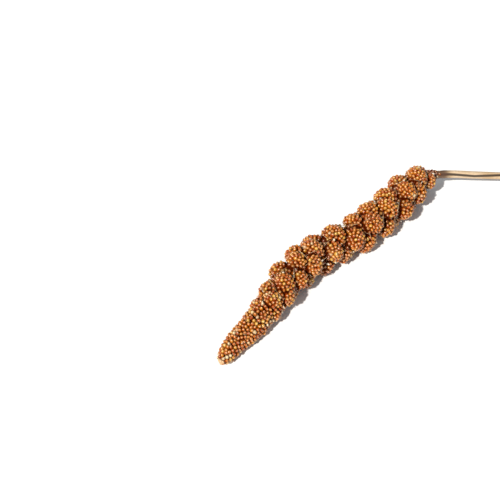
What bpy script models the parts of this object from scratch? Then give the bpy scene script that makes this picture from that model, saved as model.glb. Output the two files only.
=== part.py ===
"""Millet seed head, lying down on the surface that it was dried on.

One foxtail millet head with its cut stem. The head is a slim finger at its tip. Behind the tip it breaks
up into round lobes, each on its own short branch, packed in a spiral round the middle. Grains cover all of it.
The grains are raised by formula and are a little larger than life. Each lobe has its own even spiral of them,
and there is a pit between every three.

Row frame: metres, +Z up, +X from the head's tip towards its stem, z = 0 the surface that it lies on.
The head's tip points to -X, and the neck bends towards -Y into the stem.
"""

import math
import random
from functools import cache

import bmesh
import bpy
import numpy as np
from mathutils import Vector
from mathutils.geometry import delaunay_2d_cdt

MM = 0.001

# Middle line of head and stem, from the tip to the cut end: x, y and height, in millimetres from the tip.
ROUTE_MM = (
    (0, 0, 3.3),
    (10, 1.9, 4.2),
    (22, 1.9, 5.5),
    (37, 3.2, 7.5),
    (60, 6.2, 9.9),
    (84, 3.4, 10.0),
    (106, -1.4, 10.0),
    (130, -3.0, 10.4),
    (148, -2.6, 10.5),
    (159.9, -4.9, 10.1),
    (168.0, -11.0, 9.6),
    (178.1, -22.2, 8.6),
    (198.9, -44.7, 6.0),
    (228.5, -77.0, 1.65),
)
ORIGIN_MM = (114.77, -31.015)  # the point of the route's plane that is the row's origin

# How far the grains reach from the middle line: distance from the tip, then radius, in millimetres.
REACH_MM = (
    (0, 1.7),
    (3, 3.8),
    (9, 4.9),
    (28, 7.2),
    (60, 10.6),
    (100, 10.9),
    (142, 11.2),
    (155, 8.8),
    (167, 3.6),
)
HEAD_LENGTH = 167 * MM
CURVE_STEPS = 24  # points to a stretch, where a smooth line is drawn through the lists above

LOBE_FIRST = 5 * MM
LOBE_LAST = 159 * MM
LOBE_SHARE = 0.55  # half the width of a lobe, as a share of the head's reach
LOBE_TALL = 1.05  # its length outwards over its width
LOBE_TURN = math.radians(142)  # from each lobe to the next, which spaces them evenly at this thickness
LOBE_LEAN = 0.2  # how far its end leans towards the tip, over how far it stands out
LOBE_SPREAD = 0.79  # how far apart along the head the lobes start
REACH_VARIES = (0.96, 1.04)  # from lobe to lobe, as shares of the head's reach
LOBE_VARIES = (0.92, 1.1)  # the same for their width
TURN_VARIES = 0.2  # radians either way
PLACE_VARIES = 0.15  # either way along the head, as a share of the lobe's radius
FILLED = ((10 * MM, 0.98), (70 * MM, 0.6))  # between the lobes: from here to there, shares of the reach

GRAIN = 2.55 * MM  # spacing of the modelled grains
CROWDED = 0.66  # a grain this much of the spacing from another is left out
GRAIN_PIT = 0.6 * MM  # depth of the pits between the grains
NECK_GRAINS = 9  # in the last ring, which the stem comes out of
ROW_STEP = math.sqrt(3) / 2  # distance between staggered rows, as a share of the spacing
GOLDEN_TURN = math.radians(137.5)
HALF_TURN = math.radians(180)
SAME_PLACE = 1e-9  # on the rolled-out skin

STEM_RADIUS = 2.1 * MM
STEM_END_RADIUS = 1.6 * MM
STEM_RESOLUTION = 2
STEM_STEPS = 26
SOCKET_DEPTH = 9 * MM
SOCKET_GAP = 0.3 * MM
SURFACE_BLOCK = 500 * MM
WELD = 0.01 * MM

SEED = 7


def clear_scene():
    for obj in list(bpy.data.objects):
        bpy.data.objects.remove(obj, do_unlink=True)


def new_collection(name):
    collection = bpy.data.collections.new(name)
    bpy.context.scene.collection.children.link(collection)
    return collection


def material(name, colour, roughness):
    made = bpy.data.materials.new(name)
    made.use_nodes = True
    shader = made.node_tree.nodes["Principled BSDF"]
    shader.inputs["Base Color"].default_value = (*colour, 1)
    shader.inputs["Roughness"].default_value = roughness
    shader.inputs["Metallic"].default_value = 0
    return made


def smooth_through(points, steps):
    """Points on a smooth curve through the given ones, by Catmull and Rom's rule, with mirrored ends."""
    ends = [2 * points[0] - points[1], *points, 2 * points[-1] - points[-2]]
    found = []
    for p0, p1, p2, p3 in zip(ends, ends[1:], ends[2:], ends[3:]):
        for k in range(steps):
            t = k / steps
            a = 2 * p1
            b = (p2 - p0) * t
            c = (2 * p0 - 5 * p1 + 4 * p2 - p3) * t * t
            d = (3 * p1 - p0 - 3 * p2 + p3) * t * t * t
            found.append((a + b + c + d) / 2)
    return [*found, points[-1]]


class Route:
    """The middle line, asked by distance from the tip."""

    def __init__(self):
        shift = Vector((ORIGIN_MM[0], ORIGIN_MM[1], 0))
        self.points = smooth_through([(Vector(p) - shift) * MM for p in ROUTE_MM], CURVE_STEPS)
        self.distance = [0.0]
        for a, b in zip(self.points, self.points[1:]):
            self.distance.append(self.distance[-1] + (b - a).length)
        self.length = self.distance[-1]

    def place(self, s):
        s = min(max(s, 0.0), self.length)
        low, high = 0, len(self.distance) - 1
        while high - low > 1:
            middle = (low + high) // 2
            if self.distance[middle] > s:
                high = middle
            else:
                low = middle
        share = (s - self.distance[low]) / (self.distance[high] - self.distance[low])
        return self.points[low].lerp(self.points[high], share)

    def frame(self, s):
        """Point, direction towards the stem, sideways and up at a distance from the tip."""
        near = 1.5 * MM
        along = (self.place(s + near) - self.place(s - near)).normalized()
        side = along.cross(Vector((0, 0, 1))).normalized()
        return self.place(s), along, side, side.cross(along)

    def surface(self, s, angle, radius):
        """A point at an angle round the middle line, counted from up."""
        point, _, side, up = self.frame(s)
        return point + (up * math.cos(angle) + side * math.sin(angle)) * radius


@cache
def reach_line():
    """Distances from the tip, the head's radius there and how far they are on the rolled-out skin."""
    line = smooth_through([Vector(pair) * MM for pair in REACH_MM], CURVE_STEPS)
    at = np.array([point.x for point in line])
    radius = np.array([point.y for point in line])
    rolled = np.concatenate(([0.0], np.cumsum(2 * np.diff(at) / (radius[1:] + radius[:-1]))))
    return at, radius, rolled


def reach(s):
    """Radius of the head at a distance from the tip."""
    at, radius, _ = reach_line()
    return float(np.interp(s, at, radius))


def rolled_out(s):
    """Where a distance from the tip comes when the skin is rolled out flat without stretching its shapes."""
    at, _, rolled = reach_line()
    return float(np.interp(s, at, rolled))


def ease(low, high, value):
    """0 below low, 1 above high, and smooth between them."""
    t = min(max((value - low) / (high - low), 0.0), 1.0)
    return t * t * (3 - 2 * t)


def lobe_places():
    """Every lobe as its distance from the tip, angle, radius and distance from the middle line."""
    dice = random.Random(SEED)
    s, k, places = LOBE_FIRST, 0, []
    while s < LOBE_LAST:
        outer = reach(s) * dice.uniform(*REACH_VARIES)
        radius = LOBE_SHARE * outer * dice.uniform(*LOBE_VARIES)
        angle = LOBE_TURN * k + dice.uniform(-TURN_VARIES, TURN_VARIES)
        at = s + dice.uniform(-PLACE_VARIES, PLACE_VARIES) * radius
        places.append((at, angle, radius, outer - radius * LOBE_TALL))
        s += LOBE_SPREAD * radius**2 / outer
        k += 1
    return places


def filled_radius(s):
    """Radius of what fills the gaps between the lobes."""
    (first, full), (last, deep) = FILLED
    return reach(s) * (full + (deep - full) * ease(first, last, s))


def lobe_radius(s, angle, lobe):
    """Distance from the middle line to a lobe's far side in one direction, or 0 where the lobe isn't."""
    at, turn, radius, away = lobe
    outwards, across = math.cos(angle - turn), math.sin(angle - turn)
    back = s - at - LOBE_LEAN * away
    tall, lean = radius * LOBE_TALL, LOBE_LEAN * outwards
    square = (outwards / tall) ** 2 + (across**2 + lean**2) / radius**2
    half = away * outwards / tall**2 - back * lean / radius**2
    inside = half**2 - square * ((away / tall) ** 2 + (back / radius) ** 2 - 1)
    return (half + math.sqrt(inside)) / square if inside > 0 else 0.0


def lobe_grains(lobe):
    """Grains in an even spiral over one lobe: distance from the tip, angle and radius of each."""
    at, turn, radius, away = lobe
    count = round(2 * math.tau * radius**2 * LOBE_TALL / (ROW_STEP * GRAIN**2))
    for k in range(count):
        out = 1 - (2 * k + 1) / count
        ring = math.sqrt(1 - out**2) * radius
        out *= radius * LOBE_TALL
        across, along = ring * math.cos(GOLDEN_TURN * k), ring * math.sin(GOLDEN_TURN * k)
        angle = turn + math.atan2(across, away + out)
        yield at + along - LOBE_LEAN * out, angle % math.tau, math.hypot(away + out, across)


def filling_grains():
    """Grains in one even spiral over what fills the gaps."""
    s, k = 0.0, 0
    while s < HEAD_LENGTH:
        radius = filled_radius(s)
        yield s, (GOLDEN_TURN * k) % math.tau, radius
        s += ROW_STEP * GRAIN**2 / (math.tau * radius)
        k += 1


def neck_grains():
    """An even ring of grains round the end of the neck, which keeps the hole for the stem inside it."""
    for k in range(NECK_GRAINS):
        yield HEAD_LENGTH, math.tau * k / NECK_GRAINS, reach(HEAD_LENGTH)


def grain_places(route):
    """Every grain that nothing covers and that isn't crowded by one already placed, with its point."""
    lobes = lobe_places()
    offered = [(place, None) for place in neck_grains()]
    offered += [(place, lobe) for lobe in lobes for place in lobe_grains(lobe)]
    offered += [(place, None) for place in filling_grains()]
    places, points = [], []
    for (s, angle, radius), owner in offered:
        near = [lobe for lobe in lobes if lobe is not owner and abs(lobe[0] - s) < 2 * lobe[2]]
        over = max((lobe_radius(s, angle, lobe) for lobe in near), default=0.0)
        if not 0 <= s <= HEAD_LENGTH or radius < max(over, filled_radius(s) if owner else 0.0):
            continue
        point = route.surface(s, angle, radius)
        if points and np.linalg.norm(np.array(points) - point, axis=1).min() < GRAIN * CROWDED:
            continue
        places.append((s, angle, radius))
        points.append(point)
    return places, points


def object_of(bm, name, collection):
    mesh = bpy.data.meshes.new(name)
    bm.to_mesh(mesh)
    bm.free()
    obj = bpy.data.objects.new(name, mesh)
    collection.objects.link(obj)
    return obj


def raise_grains(bm, outward):
    """Makes each vertex of the skin's triangles a grain, with a pit in the middle of every triangle.

    A pit is sunk straight towards the middle line, so that no two of them can meet in the gaps between lobes.
    """
    ridges = [edge for edge in bm.edges if not edge.is_boundary]
    for pit in bmesh.ops.poke(bm, faces=bm.faces[:], center_mode="MEAN")["verts"]:
        away = sum((outward[edge.other_vert(pit)] for edge in pit.link_edges), Vector())
        pit.co -= away / 3 * GRAIN_PIT
    bmesh.ops.rotate_edges(bm, edges=ridges)


def seed_head(route, collection):
    """Joins the grains up in triangles, on three turns of skin side by side, and keeps the middle turn.

    The last ring at the neck and the first few grains at the tip are then closed with flat faces.
    """
    places, points = grain_places(route)
    count = len(places)
    flat = [Vector((rolled_out(s), angle)) for s, angle, _ in places]
    turns = [point + Vector((0, turn * math.tau)) for turn in (-1, 0, 1) for point in flat]
    joined, _, faces, _, _, _ = delaunay_2d_cdt(turns, [], [], 0, SAME_PLACE)
    bm = bmesh.new()
    grains = [bm.verts.new(point) for point in points]
    outward = {grain: (grain.co - route.place(s)).normalized() for grain, (s, _, _) in zip(grains, places)}
    for face in faces:
        heights = [joined[k].y for k in face]
        if 0 <= sum(heights) / 3 < math.tau and max(heights) - min(heights) < HALF_TURN:
            bm.faces.new([grains[k % count] for k in face])
    raise_grains(bm, outward)
    bmesh.ops.holes_fill(bm, edges=[edge for edge in bm.edges if edge.is_boundary])
    bmesh.ops.triangulate(bm, faces=bm.faces[:])
    bmesh.ops.recalc_face_normals(bm, faces=bm.faces[:])
    return object_of(bm, "seed_head", collection)


def mesh_from_curve(curve, name, collection):
    """A closed mesh from a bevelled curve, with its caps welded on."""
    drawn = bpy.data.objects.new(name + "_curve", curve)
    collection.objects.link(drawn)
    graph = bpy.context.evaluated_depsgraph_get()
    mesh = bpy.data.meshes.new_from_object(drawn.evaluated_get(graph))
    bpy.data.objects.remove(drawn, do_unlink=True)
    bm = bmesh.new()
    bm.from_mesh(mesh)
    bmesh.ops.remove_doubles(bm, verts=bm.verts[:], dist=WELD)
    bmesh.ops.recalc_face_normals(bm, faces=bm.faces[:])
    return object_of(bm, name, collection)


def stem_curve(route, first, grow, name):
    curve = bpy.data.curves.new(name, "CURVE")
    curve.dimensions = "3D"
    curve.bevel_depth = 1.0
    curve.bevel_resolution = STEM_RESOLUTION
    curve.use_fill_caps = True
    spline = curve.splines.new("POLY")
    spline.points.add(STEM_STEPS)
    for k, point in enumerate(spline.points):
        share = k / STEM_STEPS
        point.co = (*route.place(first + (route.length - first) * share), 1)
        point.radius = STEM_RADIUS + (STEM_END_RADIUS - STEM_RADIUS) * share + grow
    return curve


def surface_cutter(collection):
    """A block under z = 0, which presses the grains that lie on the surface flat."""
    bm = bmesh.new()
    bmesh.ops.create_cube(bm, size=SURFACE_BLOCK)
    bmesh.ops.translate(bm, verts=bm.verts[:], vec=(0, 0, -SURFACE_BLOCK / 2))
    return object_of(bm, "below_surface", collection)


def cut_away(obj, cutters):
    """Cuts a collection's objects out of a piece, applies the cut and removes them."""
    modifier = obj.modifiers.new("cut", "BOOLEAN")
    modifier.operation = "DIFFERENCE"
    modifier.operand_type = "COLLECTION"
    modifier.collection = cutters
    graph = bpy.context.evaluated_depsgraph_get()
    mesh = bpy.data.meshes.new_from_object(obj.evaluated_get(graph))
    obj.modifiers.remove(modifier)
    obj.data = mesh
    for other in list(cutters.objects):
        bpy.data.objects.remove(other, do_unlink=True)
    bpy.data.collections.remove(cutters)


def main():
    clear_scene()
    parts = new_collection("millet_seed_head")
    route = Route()
    neck = HEAD_LENGTH - SOCKET_DEPTH

    head = seed_head(route, parts)
    cutters = new_collection("cutters")
    socket = stem_curve(route, neck - SOCKET_GAP, SOCKET_GAP, "socket")
    mesh_from_curve(socket, "socket", cutters)
    surface_cutter(cutters)
    cut_away(head, cutters)
    head.data.name = "seed_head"
    head.data.materials.clear()
    head.data.materials.append(material("grain", (0.56, 0.22, 0.05), 0.42))

    stem = mesh_from_curve(stem_curve(route, neck, 0.0, "stem"), "stem", parts)
    stem.data.materials.append(material("straw", (0.72, 0.55, 0.33), 0.5))
    stem.data.shade_smooth()
    stem.data.set_sharp_from_angle(angle=math.radians(50))


main()
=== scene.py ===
"""The looks of a dried foxtail millet head: every grain with its husks and bristles, and the straw."""

import math
import random
from functools import cache

import bmesh
import bpy
import numpy as np
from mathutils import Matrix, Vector
from mathutils.kdtree import KDTree


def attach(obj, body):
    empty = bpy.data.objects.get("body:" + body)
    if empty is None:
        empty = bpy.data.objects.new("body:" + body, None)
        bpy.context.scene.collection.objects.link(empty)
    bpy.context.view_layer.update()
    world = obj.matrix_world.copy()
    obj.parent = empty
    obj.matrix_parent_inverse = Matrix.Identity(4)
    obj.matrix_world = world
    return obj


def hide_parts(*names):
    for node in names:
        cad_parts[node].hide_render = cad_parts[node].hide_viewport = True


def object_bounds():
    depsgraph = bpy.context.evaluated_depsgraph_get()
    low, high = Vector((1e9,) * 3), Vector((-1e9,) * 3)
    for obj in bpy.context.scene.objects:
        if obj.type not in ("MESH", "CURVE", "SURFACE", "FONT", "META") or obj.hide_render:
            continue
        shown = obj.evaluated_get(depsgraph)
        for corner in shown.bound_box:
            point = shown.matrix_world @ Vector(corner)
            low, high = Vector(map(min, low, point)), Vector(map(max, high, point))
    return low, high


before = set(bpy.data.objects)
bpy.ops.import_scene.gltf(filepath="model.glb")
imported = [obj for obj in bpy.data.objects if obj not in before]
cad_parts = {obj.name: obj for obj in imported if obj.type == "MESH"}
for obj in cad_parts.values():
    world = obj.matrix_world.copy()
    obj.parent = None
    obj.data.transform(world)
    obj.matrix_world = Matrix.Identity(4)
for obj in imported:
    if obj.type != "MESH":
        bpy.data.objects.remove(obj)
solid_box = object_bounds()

MM = 0.001
UP = Vector((0, 0, 1))

# Middle line of head and stem, from the tip to the cut end: x, y and height, in millimetres from the tip.
ROUTE_MM = (
    (0, 0, 3.3),
    (10, 1.9, 4.2),
    (22, 1.9, 5.5),
    (37, 3.2, 7.5),
    (60, 6.2, 9.9),
    (84, 3.4, 10.0),
    (106, -1.4, 10.0),
    (130, -3.0, 10.4),
    (148, -2.6, 10.5),
    (159.9, -4.9, 10.1),
    (168.0, -11.0, 9.6),
    (178.1, -22.2, 8.6),
    (198.9, -44.7, 6.0),
    (228.5, -77.0, 1.65),
)
ORIGIN_MM = (114.77, -31.015)

# How far the grains reach from the middle line: distance from the tip, then radius, in millimetres.
REACH_MM = (
    (0, 1.7),
    (3, 3.8),
    (9, 4.9),
    (28, 7.2),
    (60, 10.6),
    (100, 10.9),
    (142, 11.2),
    (155, 8.8),
    (167, 3.6),
)
HEAD_LENGTH = 167 * MM
CURVE_STEPS = 24

# The lobes, by the same rule and the same draws as the solid's.
LOBE_FIRST = 5 * MM
LOBE_LAST = 159 * MM
LOBE_SHARE = 0.55
LOBE_TALL = 1.05
LOBE_TURN = math.radians(142)
LOBE_LEAN = 0.2
LOBE_SPREAD = 0.79
REACH_VARIES, LOBE_VARIES, TURN_VARIES, PLACE_VARIES = (0.96, 1.04), (0.92, 1.1), 0.2, 0.15
FILLED = ((10 * MM, 0.98), (70 * MM, 0.6))
LOBE_SEED = 7  # the seats of the grains are drawn with it too

GRAIN_SPACING = 2.0 * MM
GRAIN_SIZE = (2.0 * MM, 1.82 * MM, 2.26 * MM)  # width, thickness and length
GRAIN_VARIES = (0.92, 1.08)
GRAIN_SUNK = 1.0 * MM  # depth of a grain's middle under the outline of its lobe
SUNK_VARIES = 0.12 * MM
GRAIN_CLOSEST = 0.8  # no two grains are closer than this share of the spacing
FINGER = (30 * MM, 60 * MM)  # the grains are smaller up to here, and full size from there on
FINGER_GRAINS = 0.92  # how large they are there
GRAIN_TRIES = 40000
EVEN_ROUNDS = 9  # times that the grains push each other apart
EVEN_REACH = 1.12  # how far they push, as a share of the spacing
EVEN_FORCE = 0.3
LAST_THINNING = 0.9  # grains that are still closer than this share of the least gap go
GRAIN_PARTS = ("grains_tip", "grains_middle", "grains_base")
FLOOR_GAP = 0.03 * MM
SOWING_SEED = 11

# Pale, empty grains: their share all over, and how much more of them the finger and the two ends have.
PALE_SHARE, PALE_IN_FINGER, PALE_AT_ENDS = 0.02, 0.08, 0.5
PALE_TIP, PALE_NECK = 6 * MM, 8 * MM
PALENESS = (0.4, 1)
BARE_TIP = 1.2 * MM  # the grains up to here have lost their husks
TIP_GRAIN, TIP_GRAIN_OUT, TIP_GRAIN_PALE = 0.9, 0.2 * MM, 0.6  # size, distance before the tip and paleness

CORE_UNDER = 1.7 * MM  # depth of the dark inside under the outline of the lobes
CORE_LEAST = 0.3  # its least radius, as a share of the outline's
CORE_END = 0.6 * MM  # how far it stops short of the head's ends
CORE_LIFT = 0.5 * MM  # how far it stays off the floor
CORE_RINGS, CORE_SIDES = 230, 60

BRISTLE_SHARE = 0.25  # share of the grains with a bristle beside them
BRISTLE_LENGTH = (2.2 * MM, 3.6 * MM)
BRISTLE_RADIUS = 0.06 * MM
BRISTLE_DEPTH, BRISTLE_ASIDE = 1.4 * MM, 0.4 * MM  # where its foot is, from the outline above its grain
BRISTLE_LEAN = 0.6
LOOSE_LIFT = 0.6 * MM  # the least height of a bristle's or a twig's ends
CLEFT = 0.85  # where the outline is under this share of the head's reach, there is a cleft
CLEFT_FLOOR = 0.62  # and it is at its deepest, and its painted shade darkest, at this share
SHADE_DEPTH = 0.65  # how dark that painted shade is
TWIG_SHARE = 0.1  # share of the grains in a cleft with a bare twig across it
TWIG_LENGTH = (4.5 * MM, 7.5 * MM)
TWIG_LEAN, TWIG_LIFT = 0.25, 0.3 * MM
CHAFF_SHARE = 0.08  # share of the grains in a cleft with a loose scale on them
CHAFF_IN_OPEN = 0.08  # how much of that the open lobes have
CHAFF_TIP = 5 * MM  # up to here there is as much as in a cleft
CHAFF_SIZE = (1.2 * MM, 2.1 * MM)
CHAFF_UPRIGHT, CHAFF_ASKEW = 0.7, 0.9
CHAFF_HEIGHT = 0.3 * MM  # how far over or under the outline it may lie

STRAW_RADIUS = 2.1 * MM
STRAW_END_RADIUS = 1.6 * MM
STRAW_INSIDE = 8.5 * MM  # length of straw inside the head
STRAW_RINGS, STRAW_SIDES = 150, 96
STRAW_RIBS, STRAW_RIB_DEPTH = 22, 0.018  # the depth is a share of the radius
COLLAR_HEIGHT, COLLAR_FROM_NECK, COLLAR_WIDTH = 0.12 * MM, 3 * MM, 1.2 * MM
# Rings of the cut end: how far back, share of the radius, how much of it is cut, and how ribbed it is.
STRAW_CUT = (
    (0.0, 0.94, 0.3, 0.5),
    (0.0, 0.78, 1.0, 0.0),
    (0.25 * MM, 0.66, 1.0, 0.0),
    (0.4 * MM, 0.2, 1.0, 0.0),
)
GROOVE_DEPTH, GROOVE_WIDTH = 0.45 * MM, 0.34  # its width is an angle
# Where it runs: share of the way from the head to the cut end, then an angle in degrees.
GROOVE_TURNS = ((0.0, 60), (0.12, 52), (0.26, 72), (0.36, 48), (0.5, 12), (0.7, -15), (1.0, -45))

VIEW_TARGET_MM = (64.75, 38.27)  # the point of the floor in the picture's middle, from the tip
VIEW_TURN = math.radians(-49.7)
VIEW_HEIGHT = math.radians(45)
VIEW_DISTANCE = 500 * MM
VIEW_LENS, VIEW_SENSOR = 72, 36

SUN_HEIGHT = math.radians(41.5)
SUN_TURN = math.radians(56)  # how far its light slants away from the camera, from straight across the picture
SUN_WIDTH = math.radians(2.5)
SUN_STRENGTH, SUN_COLOUR = 5.2, (1.0, 0.97, 0.92)
SKY_STRENGTH, SKY_COLOUR = 0.39, (0.92, 0.95, 1.0, 1)
FLOOR_SIZE = 6


class Value:
    """A value in a node tree, on which the signs of arithmetic add nodes."""

    def __init__(self, board, socket):
        self.board, self.socket = board, socket

    def sum(self, operation, first, second=0.0):
        return self.board.node("ShaderNodeMath", {"operation": operation}, {0: first, 1: second})

    def __add__(self, other):
        return self.sum("ADD", self, other)

    def __rsub__(self, other):
        return self.sum("SUBTRACT", other, self)

    def __mul__(self, other):
        return self.sum("MULTIPLY", self, other)

    __radd__, __rmul__ = __add__, __mul__

    def over(self, low, high):
        """0 below low, 1 above high, and smooth between them."""
        return self.board.node(
            "ShaderNodeMapRange",
            {"interpolation_type": "SMOOTHSTEP"},
            {"Value": self, "From Min": low, "From Max": high},
        )


class Board:
    """A node tree that is filled by plain calls."""

    def __init__(self, tree):
        self.tree = tree

    def node(self, kind, settings=None, sockets=None, out=0):
        made = self.tree.nodes.new(kind)
        for name, value in (settings or {}).items():
            if name == "stops":
                set_stops(made.color_ramp, value)
            else:
                setattr(made, name, value)
        for key, value in (sockets or {}).items():
            if isinstance(value, Value):
                self.tree.links.new(value.socket, made.inputs[key])
            else:
                made.inputs[key].default_value = value
        return Value(self, made.outputs[out]) if len(made.outputs) else made

    def mix(self, share, first, second):
        """A colour between two others."""
        return self.node("ShaderNodeMix", {"data_type": "RGBA"}, {0: share, 6: first, 7: second}, out=2)

    def noise(self, place, scale, detail=2.0, rough=0.5):
        return self.node(
            "ShaderNodeTexNoise",
            None,
            {"Vector": place, "Scale": scale, "Detail": detail, "Roughness": rough},
        )

    def ramp(self, value, stops):
        return self.node("ShaderNodeValToRGB", {"stops": stops}, {"Fac": value})

    def attribute(self, name):
        return self.node("ShaderNodeAttribute", {"attribute_name": name}, None, out="Fac")

    def place(self):
        return self.node("ShaderNodeTexCoord", None, None, out="Object")


def set_stops(ramp, stops):
    while len(ramp.elements) < len(stops):
        ramp.elements.new(0.5)
    for element, (at, paint) in zip(ramp.elements, stops):
        element.position = at
        element.color = (*paint, 1)


def colour(red, green, blue):
    return (red, green, blue, 1)


def finish(name, describe):
    """A material whose look is what describe(board) returns: the shader's sockets and their values."""
    made = bpy.data.materials.new(name)
    made.use_nodes = True
    board = Board(made.node_tree)
    shader = made.node_tree.nodes["Principled BSDF"]
    for key, value in describe(board).items():
        if isinstance(value, Value):
            made.node_tree.links.new(value.socket, shader.inputs[key])
        else:
            shader.inputs[key].default_value = value
    return made


def with_painted_cleft_shade(board, paint):
    """The same paint with painted shade, darker in the clefts between the lobes."""
    return board.mix(board.attribute("shade") * SHADE_DEPTH, paint, colour(0.06, 0.006, 0.0002))


def hull_finish(board):
    """Glossy hulls from red brown to yellow, each grain its own colour, a few of them cream and empty, with
    painted shade at each grain's foot and in the clefts, and a painted highlight at its outer end.
    """
    tint, pale, rise = board.attribute("tint"), board.attribute("pale"), board.attribute("rise")
    place = board.place()
    ripe_tone_and_painted_light = board.ramp(
        tint,
        (
            (0.0, (0.25, 0.034, 0.001)),
            (0.25, (0.36, 0.072, 0.002)),
            (0.6, (0.44, 0.122, 0.004)),
            (0.85, (0.50, 0.190, 0.009)),
            (1.0, (0.55, 0.31, 0.05)),
        ),
    )
    flecks, patches = board.noise(place, 2600, 3, 0.6), board.noise(place, 850, 2, 0.6)
    ripe_tone_and_painted_light = board.mix(flecks.over(0.5, 0.8) * 0.45, ripe_tone_and_painted_light, colour(0.17, 0.034, 0.004))
    ripe_tone_and_painted_light = board.mix((1 - patches.over(0.34, 0.46)) * 0.45, ripe_tone_and_painted_light, colour(0.22, 0.032, 0.002))
    # Cream patches at random: partly the hulls' own paler sides, partly painted highlight.
    ripe_tone_and_painted_light = board.mix(patches.over(0.54, 0.68) * 0.45, ripe_tone_and_painted_light, colour(0.60, 0.36, 0.12))
    # Painted shade: each grain darker towards its foot, where it sits among the others.
    ripe_tone_and_painted_light = board.mix((1 - rise.over(0.2, 0.8)) * 0.9, ripe_tone_and_painted_light, colour(0.22, 0.020, 0.0003))
    # Painted highlight: each grain paler at its outer end.
    ripe_tone_and_painted_light = board.mix(rise.over(0.8, 1.0) * 0.4, ripe_tone_and_painted_light, colour(0.66, 0.42, 0.15))
    hull = board.mix(pale, ripe_tone_and_painted_light, board.mix(flecks, colour(0.42, 0.29, 0.13), colour(0.66, 0.53, 0.33)))
    bump = board.node(
        "ShaderNodeBump", None, {"Strength": 0.25, "Distance": 0.00006, "Height": board.noise(place, 5200, 2)}
    )
    return {
        "Base Color": with_painted_cleft_shade(board, hull),
        "Roughness": 0.26 + 0.14 * flecks,
        "Normal": bump,
        "Specular IOR Level": 0.15,
        "Coat Weight": rise.over(0.55, 0.95),
        "Coat Roughness": 0.22,
        "Coat IOR": 1.65,
    }


def husk_finish(board):
    """Dry papery scales at the foot of every grain, most of them dark, and cream under a pale grain, paler at
    their points (partly painted highlight) and with painted shade in the clefts.
    """
    tint, place = board.attribute("tint"), board.place()
    paper = board.ramp(
        tint,
        (
            (0.0, (0.17, 0.014, 0.0003)),
            (0.45, (0.30, 0.042, 0.001)),
            (0.72, (0.36, 0.10, 0.01)),
            (0.86, (0.52, 0.29, 0.10)),
            (1.0, (0.66, 0.50, 0.31)),
        ),
    )
    # Paler at the tips of its three points: partly the scales' own paler edges, partly painted highlight.
    paper = board.mix(board.attribute("rise").over(0.5, 0.68) * 0.35, paper, colour(0.52, 0.27, 0.09))
    veins = board.noise(place, 3400, 2)
    paper = board.mix(board.attribute("pale") * veins.over(0.35, 0.6) * 0.8, paper, colour(0.68, 0.56, 0.36))
    return {
        "Base Color": board.mix(veins * 0.35, with_painted_cleft_shade(board, paper), colour(0.15, 0.022, 0.001)),
        "Roughness": 0.5 + 0.2 * veins,
        "Specular IOR Level": 0.05,
    }


def chaff_finish(board):
    """Loose chaff, cream to grey."""
    tint, place = board.attribute("tint"), board.place()
    flake = board.mix(tint, colour(0.62, 0.50, 0.33), colour(0.82, 0.78, 0.68))
    veins = board.noise(place, 3000, 2)
    return {
        "Base Color": board.mix(veins * 0.5, flake, colour(0.45, 0.33, 0.19)),
        "Roughness": 0.55 + 0.2 * veins,
    }


def bristle_finish(board):
    """Fine bristles, straw to brown."""
    tint, rise = board.attribute("tint"), board.attribute("rise")
    hair = board.mix(tint, colour(0.50, 0.30, 0.13), colour(0.78, 0.62, 0.38))
    return {"Base Color": board.mix(rise * 0.4, hair, colour(0.36, 0.17, 0.06)), "Roughness": 0.42}


def core_finish(board):
    """The inside between the grains, with the feet of their husks, coloured near black as painted shade in
    the gaps.
    """
    place = board.place()
    feet = board.noise(place, 1500, 3, 0.65).over(0.45, 0.75)
    return {
        # Near black: painted shade for the gaps between the grains.
        "Base Color": board.mix(feet, colour(0.035, 0.003, 0.0003), colour(0.12, 0.018, 0.002)),
        "Roughness": 0.8,
        "Specular IOR Level": 0.0,
    }


def straw_finish(board):
    """Ribbed straw, pale with brown streaks along it, dark at the neck and in its groove, where the dark is
    partly the groove's own colour and partly painted shade.
    """
    along, rounds = board.attribute("along"), board.attribute("rounds")
    groove, cut = board.attribute("groove"), board.attribute("cut")
    place = board.place()
    lengthwise = board.node("ShaderNodeCombineXYZ", None, {0: along * 40.0, 1: rounds * 9.0, 2: 0.0})
    streaks = board.noise(lengthwise, 2.0, 4, 0.6)
    patches = board.noise(place, 60, 3, 0.55)
    dry = board.mix(patches.over(0.35, 0.7), colour(0.42, 0.28, 0.15), colour(0.58, 0.44, 0.29))
    dry = board.mix(streaks.over(0.45, 0.78) * 0.6, dry, colour(0.28, 0.165, 0.075))
    # The groove's dark: partly its own colour, partly painted shade, weaker towards the cut end.
    shade = groove.over(0.1, 0.55) * (0.96 - 0.4 * along.over(0.5, 0.85))
    dry = board.mix(shade, dry, colour(0.032, 0.018, 0.009))
    neck = 1 - along.over(0.10, 0.15)
    dry = board.mix(neck * 0.9, dry, colour(0.065, 0.026, 0.012))
    dry = board.mix(cut * 0.8, dry, colour(0.50, 0.39, 0.24))
    bump = board.node("ShaderNodeBump", None, {"Strength": 0.3, "Distance": 0.0001, "Height": streaks})
    return {"Base Color": dry, "Roughness": 0.36 + 0.22 * streaks, "Normal": bump}


def floor_finish(board):
    return {"Base Color": colour(0.86, 0.86, 0.86), "Roughness": 0.7}


def smooth_through(points, steps):
    """Points on a smooth curve through the given ones, by Catmull and Rom's rule, with mirrored ends."""
    ends = [2 * points[0] - points[1], *points, 2 * points[-1] - points[-2]]
    found = []
    for p0, p1, p2, p3 in zip(ends, ends[1:], ends[2:], ends[3:]):
        for k in range(steps):
            t = k / steps
            a = 2 * p1
            b = (p2 - p0) * t
            c = (2 * p0 - 5 * p1 + 4 * p2 - p3) * t * t
            d = (3 * p1 - p0 - 3 * p2 + p3) * t * t * t
            found.append((a + b + c + d) / 2)
    return [*found, points[-1]]


def unit(vectors):
    return vectors / np.linalg.norm(vectors, axis=-1, keepdims=True)


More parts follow.
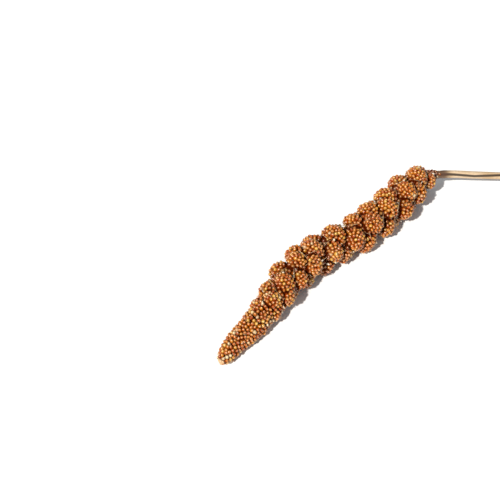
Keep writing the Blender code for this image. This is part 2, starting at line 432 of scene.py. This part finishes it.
class Route:
    """The middle line, asked by distances from the tip."""

    def __init__(self):
        shift = Vector((*ORIGIN_MM, 0))
        line = smooth_through([(Vector(p) - shift) * MM for p in ROUTE_MM], CURVE_STEPS)
        self.points = np.array([tuple(p) for p in line])
        steps = np.linalg.norm(np.diff(self.points, axis=0), axis=1)
        self.distance = np.concatenate(([0.0], np.cumsum(steps)))
        self.length = float(self.distance[-1])

    def place(self, s):
        return np.stack([np.interp(s, self.distance, self.points[:, axis]) for axis in range(3)], axis=-1)

    def frame(self, s):
        """Points, directions towards the stem, sideways and up at distances from the tip."""
        near = 1.5 * MM
        along = unit(self.place(s + near) - self.place(s - near))
        side = unit(np.cross(along, UP))
        return self.place(s), along, side, np.cross(side, along)

    def surface(self, s, angle, radius):
        point, _, side, up = self.frame(s)
        outwards = up * np.cos(angle)[:, None] + side * np.sin(angle)[:, None]
        return point + outwards * np.reshape(radius, (-1, 1))


@cache
def reach_line():
    line = smooth_through([Vector(pair) * MM for pair in REACH_MM], CURVE_STEPS)
    return np.array([p.x for p in line]), np.array([p.y for p in line])


def reach(s):
    """Radius of the head at a distance from the tip."""
    return np.interp(s, *reach_line())


def ease(low, high, value):
    t = np.clip((value - low) / (high - low), 0, 1)
    return t * t * (3 - 2 * t)


def lobe_places():
    """Every lobe as its distance from the tip, angle, radius and distance from the middle line."""
    dice = random.Random(LOBE_SEED)
    s, k, places = LOBE_FIRST, 0, []
    while s < LOBE_LAST:
        outer = float(reach(s)) * dice.uniform(*REACH_VARIES)
        radius = LOBE_SHARE * outer * dice.uniform(*LOBE_VARIES)
        angle = LOBE_TURN * k + dice.uniform(-TURN_VARIES, TURN_VARIES)
        at = s + dice.uniform(-PLACE_VARIES, PLACE_VARIES) * radius
        places.append((at, angle, radius, outer - radius * LOBE_TALL))
        s += LOBE_SPREAD * radius**2 / outer
        k += 1
    return np.array(places)


def filled_radius(s):
    (first, full), (last, deep) = FILLED
    return reach(s) * (full + (deep - full) * ease(first, last, s))


def outline(s, angle, lobes):
    """Distance from the middle line to the outermost lobe or filling, and which lobe that is, or -1."""
    at, turn, radius, away = lobes.T
    outwards, across = np.cos(angle[:, None] - turn), np.sin(angle[:, None] - turn)
    back = s[:, None] - at - LOBE_LEAN * away
    tall, lean = radius * LOBE_TALL, LOBE_LEAN * outwards
    square = (outwards / tall) ** 2 + (across**2 + lean**2) / radius**2
    half = away * outwards / tall**2 - back * lean / radius**2
    inside = half**2 - square * ((away / tall) ** 2 + (back / radius) ** 2 - 1)
    far = np.where(inside > 0, (half + np.sqrt(np.maximum(inside, 0))) / square, 0)
    filled = filled_radius(s)
    return np.maximum(far.max(1), filled), np.where(far.max(1) > filled, far.argmax(1), -1)


def skin(route, lobes, s, angle):
    """Points on the outline, the way it faces there and its distance from the middle line."""
    radius, owner = outline(s, angle, lobes)
    _, along, side, up = route.frame(s)
    at, turn, wide, away = lobes[owner].T
    lone = owner < 0
    turn = np.where(lone, angle, turn)
    tall = wide * LOBE_TALL
    out = radius * np.cos(angle - turn) - away
    across = radius * np.sin(angle - turn)
    back = s - at + LOBE_LEAN * out
    weights = (out / tall**2 + LOBE_LEAN * back / wide**2, across / wide**2, back / wide**2)
    outwards, sideways, lengthways = (np.where(lone, plain, w) for plain, w in zip((1, 0, 0), weights))
    facing = (
        outwards[:, None] * (up * np.cos(turn)[:, None] + side * np.sin(turn)[:, None])
        + sideways[:, None] * (side * np.cos(turn)[:, None] - up * np.sin(turn)[:, None])
        + lengthways[:, None] * along
    )
    return route.surface(s, angle, radius), unit(facing), radius


def tree_of(points):
    tree = KDTree(len(points))
    for n, point in enumerate(points):
        tree.insert(point, n)
    tree.balance()
    return tree


def thinned(points, gaps):
    """The numbers of the points that are kept when none may be closer to an earlier one than its gap."""
    tree = tree_of(points)
    dropped = np.zeros(len(points), bool)
    kept = []
    for n, point in enumerate(points):
        if not dropped[n]:
            kept.append(n)
            for _, other, _ in tree.find_range(point, gaps[n]):
                dropped[other] = True
    return np.array(kept)


def grain_share(s):
    """How large a grain is at a distance from the tip, against the full size."""
    return FINGER_GRAINS + (1 - FINGER_GRAINS) * ease(*FINGER, s)


def seats(route, lobes):
    """Even but irregular seats all over the lobes: distances from the tip, points, facings and radii."""
    dice = np.random.default_rng(LOBE_SEED)
    s = dice.uniform(0, HEAD_LENGTH, GRAIN_TRIES)
    angle = dice.uniform(0, math.tau, GRAIN_TRIES)
    points, facing, radius = skin(route, lobes, s, angle)
    closest = GRAIN_SPACING * GRAIN_CLOSEST
    kept = thinned(points, closest * grain_share(s))
    s, angle = s[kept], angle[kept]
    for _ in range(EVEN_ROUNDS):
        points, facing, radius = skin(route, lobes, s, angle)
        tree = tree_of(points)
        push = np.zeros_like(points)
        reaching = GRAIN_SPACING * EVEN_REACH * grain_share(s)
        for n, point in enumerate(points):
            for near, _, gap in tree.find_range(point, reaching[n]):
                if gap > 0:
                    push[n] += (point - near) * (reaching[n] / gap - 1) * EVEN_FORCE
        push -= facing * (push * facing).sum(1, keepdims=True)
        _, along, side, up = route.frame(s)
        around = side * np.cos(angle)[:, None] - up * np.sin(angle)[:, None]
        s = np.clip(s + (push * along).sum(1), 0, HEAD_LENGTH)
        angle = angle + (push * around).sum(1) / radius
    points, facing, radius = skin(route, lobes, s, angle)
    kept = thinned(points, closest * LAST_THINNING * grain_share(s))
    return s[kept], points[kept], facing[kept], radius[kept]


def seat_mesh(name, rows):
    """A mesh of loose points, each with the way it faces, its size, how pale it is and how much painted shade
    it gets.
    """
    mesh = bpy.data.meshes.new(name)
    mesh.from_pydata([row[0] for row in rows], [], [])
    facing = mesh.attributes.new("facing", "FLOAT_VECTOR", "POINT")
    facing.data.foreach_set("vector", [c for row in rows for c in row[1]])
    for slot, label in ((2, "size"), (3, "pale"), (4, "shade")):
        values = mesh.attributes.new(label, "FLOAT", "POINT")
        values.data.foreach_set("value", [row[slot] for row in rows])
    obj = bpy.data.objects.new(name, mesh)
    bpy.context.scene.collection.objects.link(obj)
    return obj


def sowing_tree():
    """Sets a piece on every point of a mesh, turned the way the point faces, with some disorder."""
    tree = bpy.data.node_groups.new("sowing", "GeometryNodeTree")
    for name, kind, way in (
        ("Seats", "NodeSocketGeometry", "INPUT"),
        ("Piece", "NodeSocketObject", "INPUT"),
        ("Finish", "NodeSocketMaterial", "INPUT"),
        ("Tilt", "NodeSocketFloat", "INPUT"),
        ("Size spread", "NodeSocketFloat", "INPUT"),
        ("Seed", "NodeSocketInt", "INPUT"),
        ("Sown", "NodeSocketGeometry", "OUTPUT"),
    ):
        tree.interface.new_socket(name, in_out=way, socket_type=kind)
    board = Board(tree)
    given = tree.nodes.new("NodeGroupInput")
    asked = {socket.name: Value(board, socket) for socket in given.outputs if socket.name}
    tilt, spread, seed = asked["Tilt"], asked["Size spread"], asked["Seed"]

    def chance(low, high, step):
        """A number between the two for every seat, drawn anew at each step."""
        return board.node(
            "FunctionNodeRandomValue", {"data_type": "FLOAT"}, {2: low, 3: high, "Seed": seed + step}, out=1
        )

    points = board.node("GeometryNodeMeshToPoints", None, {"Mesh": asked["Seats"]})
    piece = board.node("GeometryNodeObjectInfo", None, {"Object": asked["Piece"]}, out="Geometry")
    facing = board.node("GeometryNodeInputNamedAttribute", {"data_type": "FLOAT_VECTOR"}, {"Name": "facing"})
    upright = board.node("FunctionNodeAlignRotationToVector", {"axis": "Z"}, {"Vector": facing})
    lean = [chance(tilt * -1.0, tilt, step) for step in (1.0, 2.0)]
    askew = board.node("ShaderNodeCombineXYZ", None, {0: lean[0], 1: lean[1], 2: chance(0.0, math.tau, 0.0)})
    turned = board.node("FunctionNodeEulerToRotation", None, {0: askew})
    rotation = board.node(
        "FunctionNodeRotateRotation", {"rotation_space": "LOCAL"}, {"Rotation": upright, "Rotate By": turned}
    )
    size = board.node("GeometryNodeInputNamedAttribute", {"data_type": "FLOAT"}, {"Name": "size"})
    size = size * chance(1.0 - spread, 1.0 + spread, 3.0)
    sown = board.node(
        "GeometryNodeInstanceOnPoints",
        None,
        {"Points": points, "Instance": piece, "Rotation": rotation, "Scale": size},
    )
    sown = board.node(
        "GeometryNodeStoreNamedAttribute",
        {"data_type": "FLOAT", "domain": "INSTANCE"},
        {"Geometry": sown, "Name": "tint", "Value": chance(0.0, 1.0, 4.0)},
    )
    whole_mesh = board.node("GeometryNodeRealizeInstances", None, {"Geometry": sown})
    smooth = board.node("GeometryNodeSetShadeSmooth", None, {0: whole_mesh})
    painted = board.node("GeometryNodeSetMaterial", None, {"Geometry": smooth, "Material": asked["Finish"]})
    board.node("NodeGroupOutput", None, {0: painted})
    return tree


def press_on_floor(mesh):
    """Presses what would be below the floor flat on it."""
    places = np.empty(3 * len(mesh.vertices))
    mesh.vertices.foreach_get("co", places)
    places[2::3] = np.maximum(places[2::3], FLOOR_GAP)
    mesh.vertices.foreach_set("co", places)
    mesh.update()


def sow(tree, name, rows, piece, material, tilt, spread, seed):
    """Runs the sowing tree and keeps its result as a plain mesh."""
    ground = seat_mesh(name + "_seats", rows)
    modifier = ground.modifiers.new("sowing", "NODES")
    modifier.node_group = tree
    wanted = {"Piece": piece, "Finish": material, "Tilt": tilt, "Size spread": spread, "Seed": seed}
    for item in tree.interface.items_tree:
        if item.in_out == "INPUT" and item.name in wanted:
            modifier[item.identifier] = wanted[item.name]
    graph = bpy.context.evaluated_depsgraph_get()
    mesh = bpy.data.meshes.new_from_object(ground.evaluated_get(graph))
    mesh.name = name
    for label in ("facing", "size"):
        if label in mesh.attributes:
            mesh.attributes.remove(mesh.attributes[label])
    ground.modifiers.remove(modifier)
    bpy.data.objects.remove(ground, do_unlink=True)
    press_on_floor(mesh)
    made = bpy.data.objects.new(name, mesh)
    bpy.context.scene.collection.objects.link(made)
    return made


def pattern(name, bm, rise):
    """A piece to be sown, with how far up it each of its points is."""
    bmesh.ops.recalc_face_normals(bm, faces=bm.faces[:])
    mesh = bpy.data.meshes.new(name)
    layer = bm.verts.layers.float.new("rise")
    for vertex in bm.verts:
        vertex[layer] = rise(vertex.co)
    bm.to_mesh(mesh)
    bm.free()
    made = bpy.data.objects.new(name, mesh)
    bpy.context.scene.collection.objects.link(made)
    made.hide_render = True
    return made


def grain_pattern():
    """A hulled grain: round, a little pointed at its outer end and flatter on one face."""
    bm = bmesh.new()
    bmesh.ops.create_uvsphere(bm, u_segments=8, v_segments=6, radius=0.5)
    width, thickness, length = GRAIN_SIZE
    narrowing, flat_side, pointed = 0.16, 0.82, 0.06
    for vertex in bm.verts:
        x, y, z = vertex.co * 2
        taper = 1 - narrowing * max(z, 0.0) ** 2
        flat = flat_side if y < 0 else 1.0
        tall = (z + pointed * z**3) / (1 + pointed)
        vertex.co = (x * taper * width / 2, y * flat * taper * thickness / 2, tall * length / 2)
    return pattern("grain", bm, lambda p: p.z / length + 0.5)


def husk_pattern():
    """The scales round a grain's foot: a thin ring that rises to three points."""
    bm = bmesh.new()
    width, _, length = GRAIN_SIZE
    sides, scales = 9, 3
    rings = []
    for k in range(sides):
        turn = math.tau * k / sides
        tall = (1 + math.cos(scales * turn)) / 2
        # Distance from the grain's axis and height from its middle, as shares of its width and length.
        foot, rim, inside = (0.30, -0.50), (0.54 + 0.05 * tall, -0.12 + 0.30 * tall), (0.44, -0.22)
        rings.append(
            [
                bm.verts.new((math.cos(turn) * out * width, math.sin(turn) * out * width, up * length))
                for out, up in (foot, rim, inside)
            ]
        )
    for a, b in zip(rings, rings[1:] + rings[:1]):
        for k in range(3):
            bm.faces.new((a[k], b[k], b[(k + 1) % 3], a[(k + 1) % 3]))
    return pattern("husk", bm, lambda p: p.z / length + 0.5)


def bristle_pattern():
    """A thin bristle, curved a little, one unit long."""
    bm = bmesh.new()
    steps, sides = 5, 3
    bend, taper = 0.12, 0.85
    thick = BRISTLE_RADIUS / (sum(BRISTLE_LENGTH) / 2)
    rings = []
    for k in range(steps + 1):
        t = k / steps
        middle = Vector((bend * t * t, 0, t))
        rings.append(
            [
                bm.verts.new(middle + Vector((math.cos(a), math.sin(a), 0)) * thick * (1 - taper * t))
                for a in (math.tau * j / sides for j in range(sides))
            ]
        )
    for a, b in zip(rings, rings[1:]):
        for j in range(sides):
            bm.faces.new((a[j], a[(j + 1) % sides], b[(j + 1) % sides], b[j]))
    bm.faces.new(rings[0])
    bm.faces.new(rings[-1])
    return pattern("bristle", bm, lambda p: min(max(p.z, 0.0), 1.0))


def chaff_pattern():
    """A loose scale: a thin bent blade with pointed ends, one unit long."""
    bm = bmesh.new()
    bmesh.ops.create_uvsphere(bm, u_segments=6, v_segments=5, radius=0.5)
    width, thickness, cup, bow = 0.62, 0.10, 0.55, 0.25
    for vertex in bm.verts:
        x, y, z = vertex.co
        vertex.co = (x * width, y * thickness + cup * x * x + bow * z * z, z)
    return pattern("flake", bm, lambda p: p.z + 0.5)


def above_floor(point, room):
    return Vector((point.x, point.y, max(point.z, room + FLOOR_GAP)))


def disorder(dice):
    return Vector([dice.gauss(0, 1) for _ in range(3)]).normalized()


def grain_rows(route, seated, dice):
    """Grains a little uneven in depth and size. A few are pale, more of them at the tip and the neck."""
    rows = []
    for s, point, facing, radius in seated:
        size = dice.uniform(*GRAIN_VARIES) * grain_share(s)
        deep = GRAIN_SUNK * size + dice.gauss(0, SUNK_VARIES)
        ends = 1 - ease(0, PALE_TIP, s) + ease(HEAD_LENGTH - PALE_NECK, HEAD_LENGTH, s)
        often = PALE_SHARE + PALE_IN_FINGER * (1 - ease(*FINGER, s)) + PALE_AT_ENDS * ends
        pale = dice.uniform(*PALENESS) if dice.random() < often else 0.0
        middle = above_floor(point - facing * deep, GRAIN_SIZE[1] / 2 * size)
        # How much painted shade the grain gets: none outside a cleft, most at its floor.
        shade = 1 - ease(CLEFT_FLOOR, CLEFT, radius / reach(s))
        rows.append((middle, facing, size, pale, shade, s))
    tip, along, _, _ = route.frame(0.0)
    rows.append((Vector(tip - along * TIP_GRAIN_OUT), Vector(-along), TIP_GRAIN, TIP_GRAIN_PALE, 0.0, 0.0))
    return rows


def bristle_rows(seated, dice):
    """Short bristles beside some of the grains."""
    rows = []
    for _, point, facing, _ in seated:
        if dice.random() < BRISTLE_SHARE:
            sideways = disorder(dice)
            way = (facing + BRISTLE_LEAN * sideways).normalized()
            root = point - facing * BRISTLE_DEPTH + sideways * BRISTLE_ASIDE
            rows.append((root, way, dice.uniform(*BRISTLE_LENGTH), 0.0, 0.0))
    return within_height(rows)


def twig_rows(seated, dice):
    """Bare twigs across the clefts between lobes, lying almost flat on them."""
    rows = []
    for s, point, facing, radius in seated:
        if radius < CLEFT * reach(s) and dice.random() < TWIG_SHARE:
            sideways = disorder(dice).cross(facing).normalized()
            length = dice.uniform(*TWIG_LENGTH)
            way = (sideways + TWIG_LEAN * facing).normalized()
            rows.append((point + facing * TWIG_LIFT - way * length / 2, way, length, 0.0, 0.0))
    return within_height(rows)


def within_height(rows):
    """Leaves out what would reach higher than the solids, or close to the floor."""
    top = solid_box[1].z
    kept = []
    for row in rows:
        root, way, length = row[:3]
        heights = (root.z, (root + way * length).z)
        if min(heights) > LOOSE_LIFT and max(heights) < top:
            kept.append(row)
    return kept


def chaff_rows(seated, dice):
    """Loose scales in the clefts, with some at the tip."""
    rows = []
    for s, point, facing, radius in seated:
        plenty = radius < CLEFT * reach(s) or s < CHAFF_TIP
        if dice.random() < CHAFF_SHARE * (1 if plenty else CHAFF_IN_OPEN):
            way = (CHAFF_UPRIGHT * facing + CHAFF_ASKEW * disorder(dice)).normalized()
            size = dice.uniform(*CHAFF_SIZE)
            middle = above_floor(point + facing * dice.uniform(-CHAFF_HEIGHT, CHAFF_HEIGHT), size / 2)
            rows.append((middle, way, size, 0.0, 0.0))
    return rows


def rings_object(name, rings, labels, material):
    """A closed skin over rings of points, each with its own labels, with its two ends closed."""
    bm = bmesh.new()
    layers = {label: bm.verts.layers.float.new(label) for label in labels}
    made = []
    for ring in rings:
        row = []
        for point, values in ring:
            vertex = bm.verts.new(point)
            for label, value in zip(labels, values):
                vertex[layers[label]] = value
            row.append(vertex)
        made.append(row)
    for a, b in zip(made, made[1:]):
        for k in range(len(a)):
            bm.faces.new((a[k], a[(k + 1) % len(a)], b[(k + 1) % len(a)], b[k]))
    bm.faces.new(made[0])
    bm.faces.new(made[-1])
    bmesh.ops.recalc_face_normals(bm, faces=bm.faces[:])
    mesh = bpy.data.meshes.new(name)
    bm.to_mesh(mesh)
    bm.free()
    mesh.shade_smooth()
    mesh.materials.append(material)
    obj = bpy.data.objects.new(name, mesh)
    bpy.context.scene.collection.objects.link(obj)
    return obj


def core(route, lobes, material):
    """The inside that the grains stand out of: the same lobes, a grain's depth smaller."""
    angle = np.arange(CORE_SIDES) * math.tau / CORE_SIDES
    rings = []
    for s in np.linspace(CORE_END, HEAD_LENGTH - CORE_END, CORE_RINGS):
        here = np.full(CORE_SIDES, s)
        outer, _ = outline(here, angle, lobes)
        ring = route.surface(here, angle, np.maximum(outer - CORE_UNDER, CORE_LEAST * outer))
        rings.append([(above_floor(Vector(point), CORE_LIFT), ()) for point in ring])
    return rings_object("core", rings, (), material)


def straw(route, material):
    """The ribbed stem with a groove that turns round it, a collar at the neck and a cut end."""
    first = HEAD_LENGTH - STRAW_INSIDE
    labels = ("along", "rounds", "groove", "cut")
    angle = np.arange(STRAW_SIDES) * math.tau / STRAW_SIDES
    rings = []

    def ring(s, share, radius, cut=0.0, ribbed=1.0):
        turn = math.radians(np.interp(share, *zip(*GROOVE_TURNS)))
        off = np.abs((angle - turn + math.pi) % math.tau - math.pi)
        groove = np.exp(-((off / GROOVE_WIDTH) ** 2)) * ribbed
        ribs = STRAW_RIB_DEPTH * ribbed * (1 - np.cos(STRAW_RIBS * angle)) / 2
        points = route.surface(np.full(STRAW_SIDES, s), angle, radius * (1 - ribs) - GROOVE_DEPTH * groove)
        rounds = np.abs(angle / math.pi - 1)
        rings.append([(Vector(p), (share, r, g, cut)) for p, r, g in zip(points, rounds, groove)])

    for k in range(STRAW_RINGS + 1):
        share = k / STRAW_RINGS
        s = first + (route.length - first) * share
        collar = COLLAR_HEIGHT * math.exp(-(((s - HEAD_LENGTH - COLLAR_FROM_NECK) / COLLAR_WIDTH) ** 2))
        ring(s, share, STRAW_RADIUS + (STRAW_END_RADIUS - STRAW_RADIUS) * share + collar)
    for back, radius, cut, ribbed in STRAW_CUT:
        ring(route.length - back, 1.0, STRAW_END_RADIUS * radius, cut, ribbed)
    return rings_object("straw", rings, labels, material)


def aim(obj, way):
    obj.rotation_euler = way.to_track_quat("-Z", "Y").to_euler()


def across_picture(turn):
    """A level direction: to the right in the picture, turned away from the camera."""
    right = Vector((math.cos(VIEW_TURN), math.sin(VIEW_TURN), 0))
    ahead = Vector((-math.sin(VIEW_TURN), math.cos(VIEW_TURN), 0))
    return right * math.cos(turn) + ahead * math.sin(turn)


def camera():
    """Looks down on the head from its tip's side."""
    ahead = across_picture(math.pi / 2)
    way = ahead * math.cos(VIEW_HEIGHT) - UP * math.sin(VIEW_HEIGHT)
    data = bpy.data.cameras.new("camera")
    data.lens, data.sensor_width, data.clip_start = VIEW_LENS, VIEW_SENSOR, 0.01
    made = bpy.data.objects.new("camera", data)
    target = (Vector(VIEW_TARGET_MM) - Vector(ORIGIN_MM)) * MM
    made.location = target.to_3d() - way * VIEW_DISTANCE
    aim(made, way)
    bpy.context.scene.collection.objects.link(made)
    bpy.context.scene.camera = made


def studio():
    """A white floor, one strong light from the left of the camera, and an even light from all round."""
    bpy.ops.mesh.primitive_plane_add(size=FLOOR_SIZE)
    floor = bpy.context.object
    floor.name = "floor"
    floor.data.materials.append(finish("floor", floor_finish))

    light = bpy.data.lights.new("key", "SUN")
    light.energy, light.angle = SUN_STRENGTH, SUN_WIDTH
    light.color = SUN_COLOUR
    key = bpy.data.objects.new("key", light)
    aim(key, across_picture(SUN_TURN) * math.cos(SUN_HEIGHT) - UP * math.sin(SUN_HEIGHT))
    bpy.context.scene.collection.objects.link(key)

    world = bpy.data.worlds.new("studio")
    world.use_nodes = True
    sky = world.node_tree.nodes["Background"]
    sky.inputs["Color"].default_value = SKY_COLOUR
    sky.inputs["Strength"].default_value = SKY_STRENGTH
    bpy.context.scene.world = world
    bpy.context.scene.view_settings.view_transform = "Standard"


def head(route):
    """Sows the grains with their husks, bristles and chaff, and puts the dark core under them."""
    lobes = lobe_places()
    seated = [(float(s), Vector(p), Vector(f), float(r)) for s, p, f, r in zip(*seats(route, lobes))]
    dice = random.Random(SOWING_SEED)
    grains = sorted(grain_rows(route, seated, dice), key=lambda row: row[-1])
    husked = [row for row in grains if row[-1] > BARE_TIP]
    bristles, twigs, chaff = (rows(seated, dice) for rows in (bristle_rows, twig_rows, chaff_rows))
    tree = sowing_tree()
    grain, husk, bristle, flake = grain_pattern(), husk_pattern(), bristle_pattern(), chaff_pattern()
    hull, paper = finish("grain_hull", hull_finish), finish("husk_paper", husk_finish)
    hair, scale = finish("bristle", bristle_finish), finish("chaff", chaff_finish)
    made = []
    parts = len(GRAIN_PARTS)
    for k, name in enumerate(GRAIN_PARTS):
        share = grains[k * len(grains) // parts : (k + 1) * len(grains) // parts]
        made.append(sow(tree, name, share, grain, hull, tilt=0.45, spread=0.05, seed=20 + k))
    made.append(sow(tree, "husks", husked, husk, paper, tilt=0.2, spread=0.06, seed=30))
    made.append(sow(tree, "bristles", bristles, bristle, hair, tilt=0.06, spread=0.0, seed=40))
    made.append(sow(tree, "twigs", twigs, bristle, hair, tilt=0.04, spread=0.0, seed=41))
    made.append(sow(tree, "chaff", chaff, flake, scale, tilt=0.5, spread=0.1, seed=50))
    made.append(core(route, lobes, finish("head_inside", core_finish)))
    for spare in (grain, husk, bristle, flake):
        bpy.data.objects.remove(spare, do_unlink=True)
    for piece in made:
        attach(piece, "root")
        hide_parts("seed_head")
        print(piece.name, sum(len(face.vertices) - 2 for face in piece.data.polygons), "triangles")


def main():
    route = Route()
    camera()
    studio()
    head(route)
    stalk = straw(route, finish("straw", straw_finish))
    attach(stalk, "root")
    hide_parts("stem")


main()
